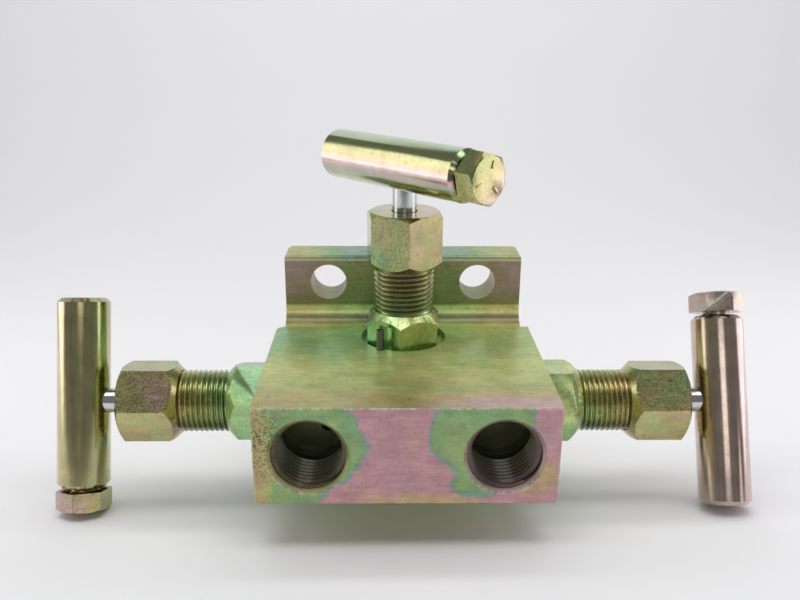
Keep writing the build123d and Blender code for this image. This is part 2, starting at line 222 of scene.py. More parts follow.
def panel(name, place, target, size, watts, mirrored):
    """Rectangular soft light at a place, facing a target, which shiny metal may mirror or not."""
    lamp = bpy.data.lights.new(name, "AREA")
    lamp.shape = "RECTANGLE"
    lamp.size, lamp.size_y = size
    lamp.energy = watts
    made = bpy.data.objects.new(name, lamp)
    made.location = place
    aim = Vector(target) - Vector(place)
    made.rotation_euler = aim.to_track_quat("-Z", "Y").to_euler()
    made.visible_glossy = mirrored
    bpy.context.scene.collection.objects.link(made)
    return made


ROOM_TINT = (0.96, 0.98, 1.0, 1)
ROOM_STRENGTH = 0.20
PANELS = (
    # name, place, target, size in metres, watts, mirrored in the metal
    ("left_panel", (-0.52, 0.0, 0.24), (0, 0, 0.22), (0.32, 0.56), 0.95, True),
    ("right_panel", (0.52, 0.03, 0.24), (0, 0, 0.22), (0.36, 0.56), 1.05, True),
    ("front_panel", (0.0, -1.25, 0.60), (0, 0, 0), (0.50, 0.26), 0.75, True),
    ("strip_panel", (0.0, -0.20, 1.05), (0, -0.05, 0), (1.5, 0.40), 4.8, True),
    ("roof_panel", (0.0, 0.12, 1.3), (0, -0.05, 0), (1.1, 0.8), 1.5, False),
    ("wall_panel", (0.0, 0.75, 1.9), (0, 1.9, 0.9), (2.4, 0.8), 26.0, False),
)

room = bpy.data.worlds.new("room")
bpy.context.scene.world = room
room.use_nodes = True
room.node_tree.nodes["Background"].inputs["Color"].default_value = ROOM_TINT
room.node_tree.nodes["Background"].inputs["Strength"].default_value = ROOM_STRENGTH
bpy.context.scene.view_settings.view_transform = "Standard"
for row in PANELS:
    panel(*row)

CARD_WIDTH = 1.3
CARD_FRONT = -1.55
CARD_BACK = -0.24
CARD_GAP = 0.004


def dark_card(name):
    """Card that only reflections see, a little above the paper."""
    bm = bmesh.new()
    bmesh.ops.create_grid(bm, x_segments=2, y_segments=2, size=0.5)
    bmesh.ops.scale(bm, vec=(CARD_WIDTH, CARD_BACK - CARD_FRONT, 1), verts=bm.verts)
    bmesh.ops.translate(bm, vec=(0, (CARD_FRONT + CARD_BACK) / 2, CARD_GAP), verts=bm.verts)
    tilt = Vector((0, 0, 1)).rotation_difference(floor_normal).to_matrix().to_4x4()
    bmesh.ops.transform(bm, matrix=Matrix.Translation(floor_point) @ tilt, verts=bm.verts)
    mesh = bpy.data.meshes.new(name)
    bm.to_mesh(mesh)
    bm.free()
    mesh.materials.append(paper("dark_paper", 0.10, 0.13))
    made = bpy.data.objects.new(name, mesh)
    bpy.context.scene.collection.objects.link(made)
    made.visible_camera = False
    made.visible_diffuse = False
    made.visible_shadow = False
    return made


dark_card("dark_card")

# %% [markdown]
# ## A short way to write materials
# A material is a tree of nodes. Written out, every node takes four lines, so two small helpers make
# a node with its inputs in one call and do arithmetic on sockets. An input may be a plain value or
# another node's output, which is then linked.

# %% Helpers for node trees


def add(tree, kind, inputs=None, **settings):
    """Makes a node, sets it up, and fills or links its inputs."""
    made = tree.nodes.new("ShaderNode" + kind)
    for key, value in settings.items():
        setattr(made, key, value)
    for key, value in (inputs or {}).items():
        if isinstance(value, bpy.types.NodeSocket):
            tree.links.new(value, made.inputs[key])
        else:
            made.inputs[key].default_value = value
    return made


def reckon(tree, operation, first, second=0.0, third=0.0, clamp=False):
    """Result of one arithmetic step on sockets or numbers."""
    inputs = {0: first, 1: second, 2: third}
    return add(tree, "Math", inputs, operation=operation, use_clamp=clamp).outputs[0]


def stretch_range(tree, value, low, high, new_low=0.0, new_high=1.0):
    """Smooth step that turns low..high into new_low..new_high."""
    inputs = {"Value": value, "From Min": low, "From Max": high,
              "To Min": new_low, "To Max": new_high}
    return add(tree, "MapRange", inputs, interpolation_type="SMOOTHSTEP").outputs[0]


def band(tree, value, start, full, fade, end):
    """1 between full and fade, falling smoothly to 0 at start and at end."""
    return reckon(tree, "MULTIPLY", stretch_range(tree, value, start, full),
                  stretch_range(tree, value, end, fade))


def grain(tree, where, scale, detail=3.0, rough=0.5, warp=0.0):
    """Noise value, 0 to 1, at a scale in lumps per metre."""
    inputs = {"Vector": where, "Scale": scale, "Detail": detail, "Roughness": rough,
              "Distortion": warp}
    return add(tree, "TexNoise", inputs).outputs[0]


def swayed(tree, value, noise, amount):
    """A value pushed up and down by a noise that has its middle at one half."""
    return reckon(tree, "MULTIPLY_ADD", reckon(tree, "SUBTRACT", noise, 0.5), amount, value)


def local_place(tree, matrix):
    """Object coordinates turned and centred on a piece's own frame."""
    where = add(tree, "TexCoord").outputs["Object"]
    inputs = {"Vector": where, "Location": matrix.to_translation(),
              "Rotation": matrix.to_euler("XYZ")}
    return add(tree, "Mapping", inputs, vector_type="TEXTURE").outputs[0]


def lean(tree, where, direction):
    """How far a place lies in a direction."""
    inputs = {0: where, 1: direction}
    return add(tree, "VectorMath", inputs, operation="DOT_PRODUCT").outputs["Value"]


def scaled(tree, colour, factor):
    """A colour made brighter or darker by a factor."""
    inputs = {0: colour, "Scale": factor}
    return add(tree, "VectorMath", inputs, operation="SCALE").outputs[0]


def squeezed(tree, where, scale):
    """The same place with each axis scaled, which draws a pattern out along one of them."""
    return add(tree, "VectorMath", {0: where, 1: scale}, operation="MULTIPLY").outputs[0]


print("node helpers ready")

# %% [markdown]
# ## The colours of the film
# Yellow passivate is a clear film a few tenths of a micrometre thick. Light that bounces off its
# top meets light that went through it, and the two cancel one colour. As the film gets thicker
# the surface runs through gold, salmon, magenta, grey, teal and green, and then round again, paler.
# A thin-film shader would do this by the viewing angle, but on a dipped part the thickness changes
# far more from place to place. So the film's thickness is painted, as one number from 0 to 1, and a
# colour ramp turns it into the tint of the metal.

# %% The film's ramp and the plated steel
# Colour of bare zinc on worn edges, also used for painted glints and a painted highlight on the
# body.
BARE_ZINC_AND_GLINT = (0.78, 0.76, 0.66)
FILM = (
    (0.00, (0.54, 0.42, 0.16)), (0.09, (0.57, 0.38, 0.23)), (0.18, (0.56, 0.30, 0.33)),
    (0.27, (0.40, 0.31, 0.35)), (0.35, (0.24, 0.36, 0.32)), (0.45, (0.23, 0.40, 0.17)),
    (0.55, (0.40, 0.46, 0.17)), (0.65, (0.52, 0.43, 0.18)), (0.75, (0.59, 0.41, 0.39)),
    (0.87, (0.36, 0.42, 0.26)), (1.00, (0.42, 0.40, 0.16)),
)


def film_colour(tree, thickness):
    """Tint of the plated steel for a film thickness from 0 to 1."""
    ramp = add(tree, "ValToRGB", {"Fac": thickness})
    steps = ramp.color_ramp.elements
    steps[0].position, steps[0].color = FILM[0][0], (*FILM[0][1], 1)
    steps[1].position, steps[1].color = FILM[-1][0], (*FILM[-1][1], 1)
    for position, colour in FILM[1:-1]:
        steps.new(position).color = (*colour, 1)
    return ramp.outputs["Color"]


PIT_SHADE = -0.80
DIRT_SHADE = -0.45
# How much grime and painted shade darken the colour.
GRIME_AND_PAINTED_SHADE = -0.78
PIT_DEPTH = -2.0
COAT_ROUGHNESS = 0.16
COAT_IOR = 1.9


def plated(name, matrix, thickness_of, along=(1, 1, 1), pits=0.0, pits_of=None, grime_and_shade_of=None,
           bare_and_glint_of=None, tone_and_light_of=None, gloss=0.27, brush=0.00002, clear=0.4, metal=1.0):
    """Zinc plated steel: painted film, brushed roughness, pits, grime and painted shade, tone and
    painted light, worn places and painted glints, fine bump.
    """
    made = bpy.data.materials.new(name)
    made.use_nodes = True
    tree = made.node_tree
    shader = tree.nodes["Principled BSDF"]
    where = local_place(tree, matrix)
    drawn = squeezed(tree, where, along)
    film = thickness_of(tree, where, drawn)
    colour = film_colour(tree, film)
    fine = grain(tree, drawn, 900, detail=4, rough=0.6)
    broad = grain(tree, where, 160, detail=3, rough=0.55)
    speck = grain(tree, where, 1900, detail=2, rough=0.7)
    amount = pits_of(tree, where) if pits_of else pits
    pitted = reckon(tree, "MULTIPLY", stretch_range(tree, speck, 0.50, 0.60), amount)
    dirt = stretch_range(tree, grain(tree, where, 620, detail=3), 0.62, 0.70, 0.0, 0.55)
    cloud = stretch_range(tree, broad, 0.3, 0.7, 0.88, 1.10)
    lines = stretch_range(tree, fine, 0.3, 0.7, 0.90, 1.08)
    shade = reckon(tree, "MULTIPLY", cloud, lines)
    shade = reckon(tree, "MULTIPLY", shade, reckon(tree, "MULTIPLY_ADD", pitted, PIT_SHADE, 1.0))
    shade = reckon(tree, "MULTIPLY", shade, reckon(tree, "MULTIPLY_ADD", dirt, DIRT_SHADE, 1.0))
    # Tone of the metal. On the body this also carries painted highlight and painted shade.
    if tone_and_light_of:
        shade = reckon(tree, "MULTIPLY", shade, tone_and_light_of(tree, where))
    # Darkening by grime, and painted shade in the ports, on the threads' unlit sides and on the bar
    # ends.
    if grime_and_shade_of:
        left_over = reckon(tree, "MULTIPLY_ADD", grime_and_shade_of(tree, where), GRIME_AND_PAINTED_SHADE, 1.0)
        shade = reckon(tree, "MULTIPLY", shade, left_over)
    tinted = scaled(tree, colour, shade)
    # Bare zinc on worn edges. On the body this also carries painted glints and a painted highlight.
    if bare_and_glint_of:
        tinted = add(tree, "Mix", {0: bare_and_glint_of(tree, where), 6: tinted, 7: (*BARE_ZINC_AND_GLINT, 1)},
                     data_type="RGBA").outputs[2]
    tree.links.new(tinted, shader.inputs["Base Color"])
    rough = reckon(tree, "MULTIPLY_ADD", fine, 0.22, gloss - 0.11)
    rough = reckon(tree, "MULTIPLY_ADD", pitted, 0.30, rough, clamp=True)
    tree.links.new(rough, shader.inputs["Roughness"])
    shader.inputs["Metallic"].default_value = metal
    shader.inputs["Coat Weight"].default_value = clear
    shader.inputs["Coat Roughness"].default_value = COAT_ROUGHNESS
    shader.inputs["Coat IOR"].default_value = COAT_IOR
    height = reckon(tree, "MULTIPLY_ADD", pitted, PIT_DEPTH, fine)
    bump = add(tree, "Bump", {"Height": height, "Distance": brush, "Strength": 0.8})
    tree.links.new(bump.outputs["Normal"], shader.inputs["Normal"])
    return made


print(len(FILM), "steps in the film's ramp")

# %% [markdown]
# ## The block's own film
# The block was dipped and hung, and then handled, so its faces differ. The front is magenta with
# green patches round the ports and gold along the bottom, its left end is speckled, the top is an
# olive that turns green towards the flange, and the flange is olive brown with a teal top. Each of
# these is a soft spot or a slope in the block's own coordinates, added up and warped with noise.
# The flange's upright face is painted darker, a painted highlight runs along the fillet under it
# with painted shade below, and the top is painted lighter towards the back.

# %% Paint the film on the block
body_low, body_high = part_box("manifold_body")
FRONT = body_low.y
HALF_HEIGHT = 0.01475
HALF_WIDTH = body_high.x
PORT_SPACING = 0.053975
FLANGE_FACE = -0.0136
FILLET_FOOT = 0.0149
FLANGE_RIM = 0.0365
MAGENTA = 0.185
GREEN = 0.475
GOLD = 0.64
OLIVE = 0.565
GREEN_PATCHES = (
    ((0.0190, FRONT, 0.0065), 0.0140), ((0.0235, FRONT, 0.0095), 0.0125),
    ((0.0205, FRONT, -0.0060), 0.0082), ((-0.031, FRONT, -0.005), 0.0125),
)


def spot(tree, where, centre, reach, flat=0.35):
    """Soft round spot: 1 inside, 0 beyond its reach."""
    away = add(tree, "VectorMath", {0: where, 1: centre}, operation="DISTANCE").outputs["Value"]
    return stretch_range(tree, away, reach * flat, reach, 1.0, 0.0)


def jittered(tree, where, scale, reach):
    """The same place pushed about by coloured noise, which gives a painted edge its ragged line."""
    inputs = {"Vector": where, "Scale": scale, "Detail": 5.0, "Roughness": 0.62}
    colours = add(tree, "TexNoise", inputs).outputs["Color"]
    push = add(tree, "VectorMath", {0: colours, 1: (0.5, 0.5, 0.5)}, operation="SUBTRACT")
    push = add(tree, "VectorMath", {0: push.outputs[0], "Scale": reach}, operation="SCALE")
    return add(tree, "VectorMath", {0: where, 1: push.outputs[0]}, operation="ADD").outputs[0]


def front_film(tree, moved):
    """Film on the front face: magenta, green about the ports, gold below and at the left end."""
    parts = add(tree, "SeparateXYZ", {0: moved})
    x, z = parts.outputs[0], parts.outputs[2]
    green = spot(tree, moved, (-0.0262, FRONT, 0.0035), 0.0160, 0.86)
    for centre, reach in GREEN_PATCHES:
        green = reckon(tree, "MAXIMUM", green, spot(tree, moved, centre, reach, 0.80))
    gold = reckon(tree, "MULTIPLY", stretch_range(tree, z, -0.0085, -0.0145),
                  spot(tree, moved, (0.006, FRONT, -0.014), 0.024, 0.3))
    warm = spot(tree, moved, (0.0365, FRONT, -0.0065), 0.0085, 0.2)
    left_end = stretch_range(tree, x, -0.0350, -0.0395)
    front = reckon(tree, "MULTIPLY_ADD", green, GREEN - MAGENTA, MAGENTA)
    front = reckon(tree, "MULTIPLY_ADD", gold, -0.15, front)
    front = reckon(tree, "MULTIPLY_ADD", warm, -0.10, front)
    return add(tree, "Mix", {0: left_end, 2: front, 3: GOLD}).outputs[0]


def top_film(tree, moved):
    """Film on the top: olive, green towards the flange, gold and pink along the front."""
    parts = add(tree, "SeparateXYZ", {0: moved})
    x, y = parts.outputs[0], parts.outputs[1]
    rear = stretch_range(tree, y, -0.058, -0.030)
    left = stretch_range(tree, x, 0.010, -0.030)
    strip = stretch_range(tree, y, -0.0665, -0.0770)
    on_right = stretch_range(tree, x, -0.004, 0.024)
    top = reckon(tree, "MULTIPLY_ADD", rear, -0.045, OLIVE)
    top = reckon(tree, "MULTIPLY_ADD", reckon(tree, "MULTIPLY", rear, left), -0.080, top)
    top = reckon(tree, "MULTIPLY_ADD", strip, 0.065, top)
    return reckon(tree, "MULTIPLY_ADD", reckon(tree, "MULTIPLY", strip, on_right), 0.125, top)


def flange_film(tree, moved, height):
    """Film on the neck and flange: olive brown ends, green middle, light band below, teal top."""
    parts = add(tree, "SeparateXYZ", {0: moved})
    outer = stretch_range(tree, reckon(tree, "ABSOLUTE", parts.outputs[0]), 0.016, 0.037)
    low = stretch_range(tree, parts.outputs[2], 0.026, 0.0215)
    high = stretch_range(tree, height, 0.0366, 0.0374)
    plate = reckon(tree, "MULTIPLY_ADD", outer, 0.19, 0.54)
    plate = reckon(tree, "MULTIPLY_ADD", reckon(tree, "MULTIPLY", low, outer), -0.10, plate)
    return reckon(tree, "MULTIPLY_ADD", high, -0.15, plate)


def block_film(tree, where, drawn):
    """Film thickness over the whole body."""
    lump = grain(tree, where, 60, detail=5, rough=0.6, warp=0.6)
    small = grain(tree, where, 420, detail=5, rough=0.65, warp=0.3)
    brushed = grain(tree, drawn, 700, detail=3, rough=0.6)
    moved = jittered(tree, where, 170.0, 0.0085)
    exact = add(tree, "SeparateXYZ", {0: where})
    is_front = stretch_range(tree, exact.outputs[1], FRONT + 0.0004, FRONT + 0.0002)
    is_plate = stretch_range(tree, exact.outputs[1], -0.0205, -0.0185)
    plate = flange_film(tree, moved, exact.outputs[2])
    film = add(tree, "Mix", {0: is_plate, 2: top_film(tree, moved), 3: plate}).outputs[0]
    film = add(tree, "Mix", {0: is_front, 2: film, 3: front_film(tree, moved)}).outputs[0]
    film = swayed(tree, film, lump, 0.20)
    film = swayed(tree, film, brushed, 0.08)
    return swayed(tree, film, small, 0.13)


def block_painted_light(tree, where):
    """Painted light on the body: painted shade on the flange's upright face, a painted highlight on
    the fillet's upper part with painted shade on its lower part, and a top painted lighter towards
    the back.
    """
    parts = add(tree, "SeparateXYZ", {0: where})
    y, z = parts.outputs[1], parts.outputs[2]
    flange = reckon(tree, "MULTIPLY", stretch_range(tree, y, -0.0155, -0.0138),
                    stretch_range(tree, z, FLANGE_RIM + 0.0003, FLANGE_RIM - 0.0005))
    on_top = reckon(tree, "MULTIPLY", stretch_range(tree, y, FRONT + 0.0002, FRONT + 0.0010),
                    stretch_range(tree, y, -0.0150, -0.0170))
    before = stretch_range(tree, y, FLANGE_FACE + 0.0006, FLANGE_FACE)
    rise = reckon(tree, "SUBTRACT", z, FILLET_FOOT)
    upper = band(tree, rise, 0.0021, 0.0033, 0.0051, 0.0063)
    lower = band(tree, rise, 0.0, 0.0005, 0.0015, 0.0023)
    # Painted shade on the flange's face, then a painted highlight on the upper fillet and painted
    # shade on the lower fillet.
    tone = reckon(tree, "MULTIPLY_ADD", flange, -0.30, 1.04)
    tone = reckon(tree, "MULTIPLY_ADD", reckon(tree, "MULTIPLY", upper, before), 1.40, tone)
    tone = reckon(tree, "MULTIPLY_ADD", reckon(tree, "MULTIPLY", lower, before), -0.62, tone)
    # Painted light on the top, growing towards the back.
    top_light = stretch_range(tree, y, FRONT, FRONT + 0.030, -0.06, 0.36)
    return reckon(tree, "ADD", tone, reckon(tree, "MULTIPLY", on_top, top_light))


def block_pits(tree, where):
    """How pitted the body is: most at the front's left end."""
    end = spot(tree, where, (-0.041, FRONT, 0.004), 0.016, 0.1)
    return reckon(tree, "MULTIPLY_ADD", end, 0.75, 0.10)


def from_port(tree, where):
    """Distance from the axis of the nearer port."""
    parts = add(tree, "SeparateXYZ", {0: where})
    aside = reckon(tree, "ABSOLUTE", parts.outputs[0])
    flat = add(tree, "CombineXYZ", {0: aside, 2: parts.outputs[2]}).outputs[0]
    centre = (PORT_SPACING / 2, 0, 0)
    return add(tree, "VectorMath", {0: flat, 1: centre}, operation="DISTANCE").outputs["Value"]


def block_port_shade_and_oil(tree, where):
    """Painted shade and dark oil inside the two ports."""
    depth = add(tree, "SeparateXYZ", {0: where}).outputs[1]
    inside = stretch_range(tree, from_port(tree, where), 0.0112, 0.0106)
    bore = band(tree, depth, FRONT + 0.0001, FRONT + 0.0022, -0.058, -0.056)
    return reckon(tree, "MULTIPLY", inside, bore)


def block_wear_and_glints(tree, where):
    """Bare zinc where handling has rubbed the film off the front edges, worn and painted glints on
    the lower rims of the ports, and a painted highlight along the front edge of the flange's top.
    """
    parts = add(tree, "SeparateXYZ", {0: where})
    x, y, z = parts.outputs[0], parts.outputs[1], parts.outputs[2]
    near_front = stretch_range(tree, y, FRONT + 0.0006, FRONT + 0.0003)
    top_edge = stretch_range(tree, z, HALF_HEIGHT - 0.0006, HALF_HEIGHT - 0.0002)
    aside = reckon(tree, "ABSOLUTE", x)
    ends = stretch_range(tree, aside, HALF_WIDTH - 0.0005, HALF_WIDTH - 0.0002)
    # Lower rims of the port mouths: battered wear, and a painted glint where the light catches
    # them.
    mouth = band(tree, from_port(tree, where), 0.0108, 0.0111, 0.0115, 0.0118)
    mouth = reckon(tree, "MULTIPLY", mouth, stretch_range(tree, z, -0.001, -0.009))
    edge = reckon(tree, "MAXIMUM", reckon(tree, "MAXIMUM", top_edge, ends), mouth)
    patchy = grain(tree, where, 800, detail=4, rough=0.7)
    chips = reckon(tree, "MULTIPLY", edge, near_front)
    chips = reckon(tree, "MULTIPLY", chips, stretch_range(tree, patchy, 0.42, 0.62, 0.0, 0.55))
    # Painted highlight along the front edge of the flange's top.
    rim = band(tree, reckon(tree, "SUBTRACT", z, FLANGE_RIM), -0.0006, -0.0002, 0.0002, 0.0006)
    rim = reckon(tree, "MULTIPLY", rim, stretch_range(tree, y, -0.0110, -0.0125, 0.0, 0.6))
    return reckon(tree, "MAXIMUM", chips, rim)


body_finish = plated("plated_body", Matrix.Identity(4), block_film, along=(0.12, 1, 1),
                     pits_of=block_pits, grime_and_shade_of=block_port_shade_and_oil, bare_and_glint_of=block_wear_and_glints,
                     tone_and_light_of=block_painted_light, gloss=0.42, clear=0.25, metal=0.6)
nodes["manifold_body"].data.materials.clear()
nodes["manifold_body"].data.materials.append(body_finish)
print("body painted, front at", round(FRONT * 1000, 1), "mm")

# %% [markdown]
# ## The frame of one valve
# The three valves are the same valve in three directions. So a valve is described once, in its own
# frame, and placed three times: Z runs outward along the stem from the bonnet's sealing face, and X
# points to the front of the block. The place comes from the solids, since the stem is round about
# the axis and the bonnet ends a known way out.

# %% Work out the valve frames
BONNET_LENGTH = 38.8
OUTWARD = {"left": Vector((-1, 0, 0)), "right": Vector((1, 0, 0)), "top": Vector((0, 0, 1))}
TURNS = {
    "left": {"bonnet": 16.5, "nut": 9.0, "handle": -71.0, "bolt": 35.0, "pin": 215.0},
    "right": {"bonnet": -3.4, "nut": -10.8, "handle": -116.0, "bolt": -13.0, "pin": 145.0},
    "top": {"bonnet": -5.5, "nut": 6.5, "handle": 43.0, "bolt": 13.0, "pin": -32.3},
}
NUT_ADVANCE = {"left": 0.0, "right": 0.0, "top": 0.9}
STEM_LIFT = {"left": 0.0, "right": 0.0, "top": 0.635}
TO_METRES = Matrix.Scale(0.001, 4)


def valve_frame(name):
    """Matrix from a valve's own frame to the whole object's, in metres."""
    out = OUTWARD[name]
    low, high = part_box(f"{name}_stem")
    middle = (low + high) / 2
    low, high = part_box(f"{name}_bonnet")
    end = high.dot(out) if sum(out) > 0 else low.dot(out)
    origin = middle + out * (end - BONNET_LENGTH / 1000 - middle.dot(out))
    first = Vector((0, -1, 0))
    second = out.cross(first)
    turn = Matrix((first, second, out)).transposed().to_4x4()
    return Matrix.Translation(origin) @ turn


def turned(name, part):
    """A valve's frame, turned to the angle that one of its parts stands at."""
    return frames[name] @ Matrix.Rotation(math.radians(TURNS[name][part]), 4, "Z")


frames = {name: valve_frame(name) for name in OUTWARD}
for name, place in frames.items():
    print(name, "sealing face at", [round(value * 1000, 2) for value in place.to_translation()])

# %% [markdown]
# ## Turning, hexagons and cuts
# Most pieces here were made on a lathe, so most meshes are an outline spun about an axis. Outlines
# are in millimetres as (radius, height). A hexagon is a six-sided create_cone, and the curved edges
# of a nut appear by themselves where its flats are cut by a turned envelope, exactly as on the real
# lathe. That cut is a Boolean modifier, applied at once.

# %% Helpers for turned and milled shapes
STEPS = 120
ENVELOPE_SHARE = 0.7


def spun(outline, steps=STEPS):
    """Turned solid about Z. An outline that starts and ends on the axis is left open there."""
    bm = bmesh.new()
    corners = [bm.verts.new((radius, 0, height)) for radius, height in outline]
    pairs = list(zip(corners, corners[1:]))
    if outline[0][0] > 0:
        pairs.append((corners[-1], corners[0]))
    edges = [bm.edges.new(pair) for pair in pairs]
    bmesh.ops.spin(bm, geom=corners + edges, cent=(0, 0, 0), axis=(0, 0, 1), dvec=(0, 0, 0),
                   angle=math.tau, steps=steps, use_merge=True)
    bmesh.ops.remove_doubles(bm, verts=bm.verts, dist=0.0001)
    bmesh.ops.recalc_face_normals(bm, faces=bm.faces)
    return bm


def hexagon(flats, low, high):
    """Hexagonal prism on Z with a corner on X."""
    bm = bmesh.new()
    corner = flats / 2 / math.cos(math.radians(30))
    bmesh.ops.create_cone(bm, cap_ends=True, cap_tris=False, segments=6, radius1=corner,
                          radius2=corner, depth=high - low)
    quarter = Matrix.Rotation(math.radians(90), 3, "Z")
    bmesh.ops.rotate(bm, cent=(0, 0, 0), matrix=quarter, verts=bm.verts)
    bmesh.ops.translate(bm, verts=bm.verts, vec=(0, 0, (low + high) / 2))
    return bm


def shape(name, bm):
    """Object from a bmesh, still in millimetres in its own frame."""
    mesh = bpy.data.meshes.new(name)
    bm.to_mesh(mesh)
    bm.free()
    made = bpy.data.objects.new(name, mesh)
    bpy.context.scene.collection.objects.link(made)
    return made


def settle(piece):
    """Applies the modifiers on a piece."""
    bpy.context.view_layer.update()
    graph = bpy.context.evaluated_depsgraph_get()
    mesh = bpy.data.meshes.new_from_object(piece.evaluated_get(graph))
    piece.modifiers.clear()
    piece.data = mesh
    return piece


def cut(piece, tool_bm, operation="DIFFERENCE"):
    """One Boolean step with a tool that is thrown away afterwards."""
    tool = shape("tool", tool_bm)
    step = piece.modifiers.new("cut", "BOOLEAN")
    step.object = tool
    step.operation = operation
    step.solver = "EXACT"
    settle(piece)
    bpy.data.objects.remove(tool)
    return piece


def soften(piece, width, segments=2, angle=28):
    """Breaks the sharp edges of a piece and gives them its second material."""
    piece.data.materials.clear()
    for _ in range(2):
        piece.data.materials.append(None)
    step = piece.modifiers.new("soften", "BEVEL")
    step.material = 1
    step.width = width
    step.segments = segments
    step.limit_method = "ANGLE"
    step.angle_limit = math.radians(angle)
    step.use_clamp_overlap = True
    return settle(piece)


def join(piece, extra_bm):
    """Adds the faces of a bmesh to a piece."""
    bm = bmesh.new()
    bm.from_mesh(piece.data)
    extra = bpy.data.meshes.new("extra")
    extra_bm.to_mesh(extra)
    extra_bm.free()
    bm.from_mesh(extra)
    bm.to_mesh(piece.data)
    bm.free()
    bpy.data.meshes.remove(extra)
    return piece


def fit(piece, place, body, finishes, stands_for=None, smooth=35):
    """Puts a finished piece in place and tells the frame what it is."""
    piece.data.transform(place @ TO_METRES)
    piece.data.shade_smooth()
    piece.data.set_sharp_from_angle(angle=math.radians(smooth))
    kept = [min(face.material_index, len(finishes) - 1) for face in piece.data.polygons]
    piece.data.materials.clear()
    for finish in finishes:
        piece.data.materials.append(finish)
    piece.data.polygons.foreach_set("material_index", kept)
    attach(piece, body)
    if stands_for:
        low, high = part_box(stands_for)
        off = 0.0
        for axis in range(3):
            span = [vertex.co[axis] for vertex in piece.data.vertices]
            off = max(off, abs(min(span) - low[axis]), abs(max(span) - high[axis]))
        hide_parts(stands_for)
        print(piece.name, len(piece.data.polygons), "faces, within", round(off * 1000, 2),
              "mm of its solid")
    else:
        print(piece.name, len(piece.data.polygons), "faces")
    return piece


print("shape helpers ready")

# %% [markdown]
# ## Screw threads
# The solids leave threads out, but the eye looks for them: a dark green ribbed neck under every
# nut, and ridges that catch the light inside the ports. A Screw modifier could sweep a profile, and
# so can the spin operator when every step also moves along the axis. The ridge is a flat-topped
# wedge that sinks a little into its core, and it fades out at both ends over a third of a turn, as
# a die leaves it.

# %% Helper for thread ridges
TURN_STEPS = 60
RIDGE_SINK = 0.12
RIDGE_SECTION = ((-0.46, "foot"), (-0.07, "crest"), (0.07, "crest"), (0.46, "foot"))
FADE_TURNS = 0.35


def ridge(root, crest, pitch, low, high):
    """Helical ridge between two heights. Crest may be outside or inside its root."""
    foot = root - math.copysign(RIDGE_SINK, crest - root)
    reach = {"foot": foot, "crest": crest}
    bm = bmesh.new()
    corners = [bm.verts.new((reach[level], 0, low + share * pitch))
               for share, level in RIDGE_SECTION]
    edges = [bm.edges.new(pair) for pair in zip(corners, corners[1:] + corners[:1])]
    turns = (high - low) / pitch
    steps = int(turns * TURN_STEPS)
    bmesh.ops.spin(bm, geom=corners + edges, cent=(0, 0, 0), axis=(0, 0, 1),
                   dvec=(0, 0, (high - low) / steps), angle=math.tau * turns, steps=steps,
                   use_merge=False)
    open_edges = [edge for edge in bm.edges if edge.is_boundary]
    bmesh.ops.holes_fill(bm, edges=open_edges, sides=4)
    for corner in bm.verts:
        angle = math.atan2(corner.co.y, corner.co.x) / math.tau
        guess = (corner.co.z - low) / pitch
        along = round(guess - angle) + angle
        fade = min(1.0, max(0.0, min(along, turns - along) / FADE_TURNS))
        radius = math.hypot(corner.co.x, corner.co.y)
        wanted = foot + (radius - foot) * fade * fade * (3 - 2 * fade)
        corner.co.x *= wanted / radius
        corner.co.y *= wanted / radius
    bmesh.ops.recalc_face_normals(bm, faces=bm.faces)
    return bm


print("a thread of 10 turns takes", 10 * TURN_STEPS * 4, "faces")

# %% [markdown]
# ## Film on the turned and hexagonal pieces
# Bonnets, nuts, bolts and bars went through the same bath, but each came out its own colour. One
# recipe is enough for them all: a starting thickness, a slope across the piece, broad clouds and
# long streaks. The slope is what puts a teal edge on one side of a bar and an olive edge on the
# other.

# %% Recipe for a piece's film


def sloping_film(start, slope, cloud=0.12, streak=0.10, seed=0.0):
    """Film that starts at one value, slopes across the piece, and varies by cloud and streak."""
    def paint(tree, where, drawn):
        shift = (seed, seed * 0.7, 0)
        shifted = add(tree, "VectorMath", {0: where, 1: shift}, operation="ADD").outputs[0]
        clouds = grain(tree, shifted, 70, detail=3, rough=0.55, warp=0.5)
        streaks = grain(tree, drawn, 260, detail=4, rough=0.6)
        film = reckon(tree, "ADD", lean(tree, where, slope), start)
        film = swayed(tree, film, clouds, cloud * 2)
        return swayed(tree, film, streaks, streak * 2)
    return paint


def thread_roots_and_painted_shade(root, crest, low, lit):
    """Patchy darkening in the roots of a thread above a height, and painted shade over its side
    away from lit.
    """
    def dull(tree, where):
        parts = add(tree, "SeparateXYZ", {0: where})
        flat = add(tree, "CombineXYZ", {0: parts.outputs[0], 1: parts.outputs[1]}).outputs[0]
        away = add(tree, "VectorMath", {0: flat}, operation="LENGTH").outputs["Value"]
        deep = stretch_range(tree, away, crest, root)
        patchy = stretch_range(tree, grain(tree, where, 350, detail=3), 0.3, 0.6, 0.15, 0.60)
        # Painted shade on the side of the thread that faces away from the light.
        shade = stretch_range(tree, lean(tree, flat, lit), 0.0005, -0.0075, 0.0, 0.78)
        dark = reckon(tree, "MAXIMUM", reckon(tree, "MULTIPLY", deep, patchy), shade)
        threaded = stretch_range(tree, parts.outputs[2], low, low + 0.0003)
        return reckon(tree, "MULTIPLY", dark, threaded)
    return dull


def worn_edge(tree, where, drawn):
    """Film that is left on rubbed edges, thin and even."""
    return stretch_range(tree, grain(tree, where, 300, detail=3), 0.3, 0.7, 0.56, 0.70)


def rubbed(tree, where):
    """How bare a rubbed edge is."""
    return stretch_range(tree, grain(tree, where, 700, detail=4, rough=0.65), 0.35, 0.6, 0.50, 0.95)


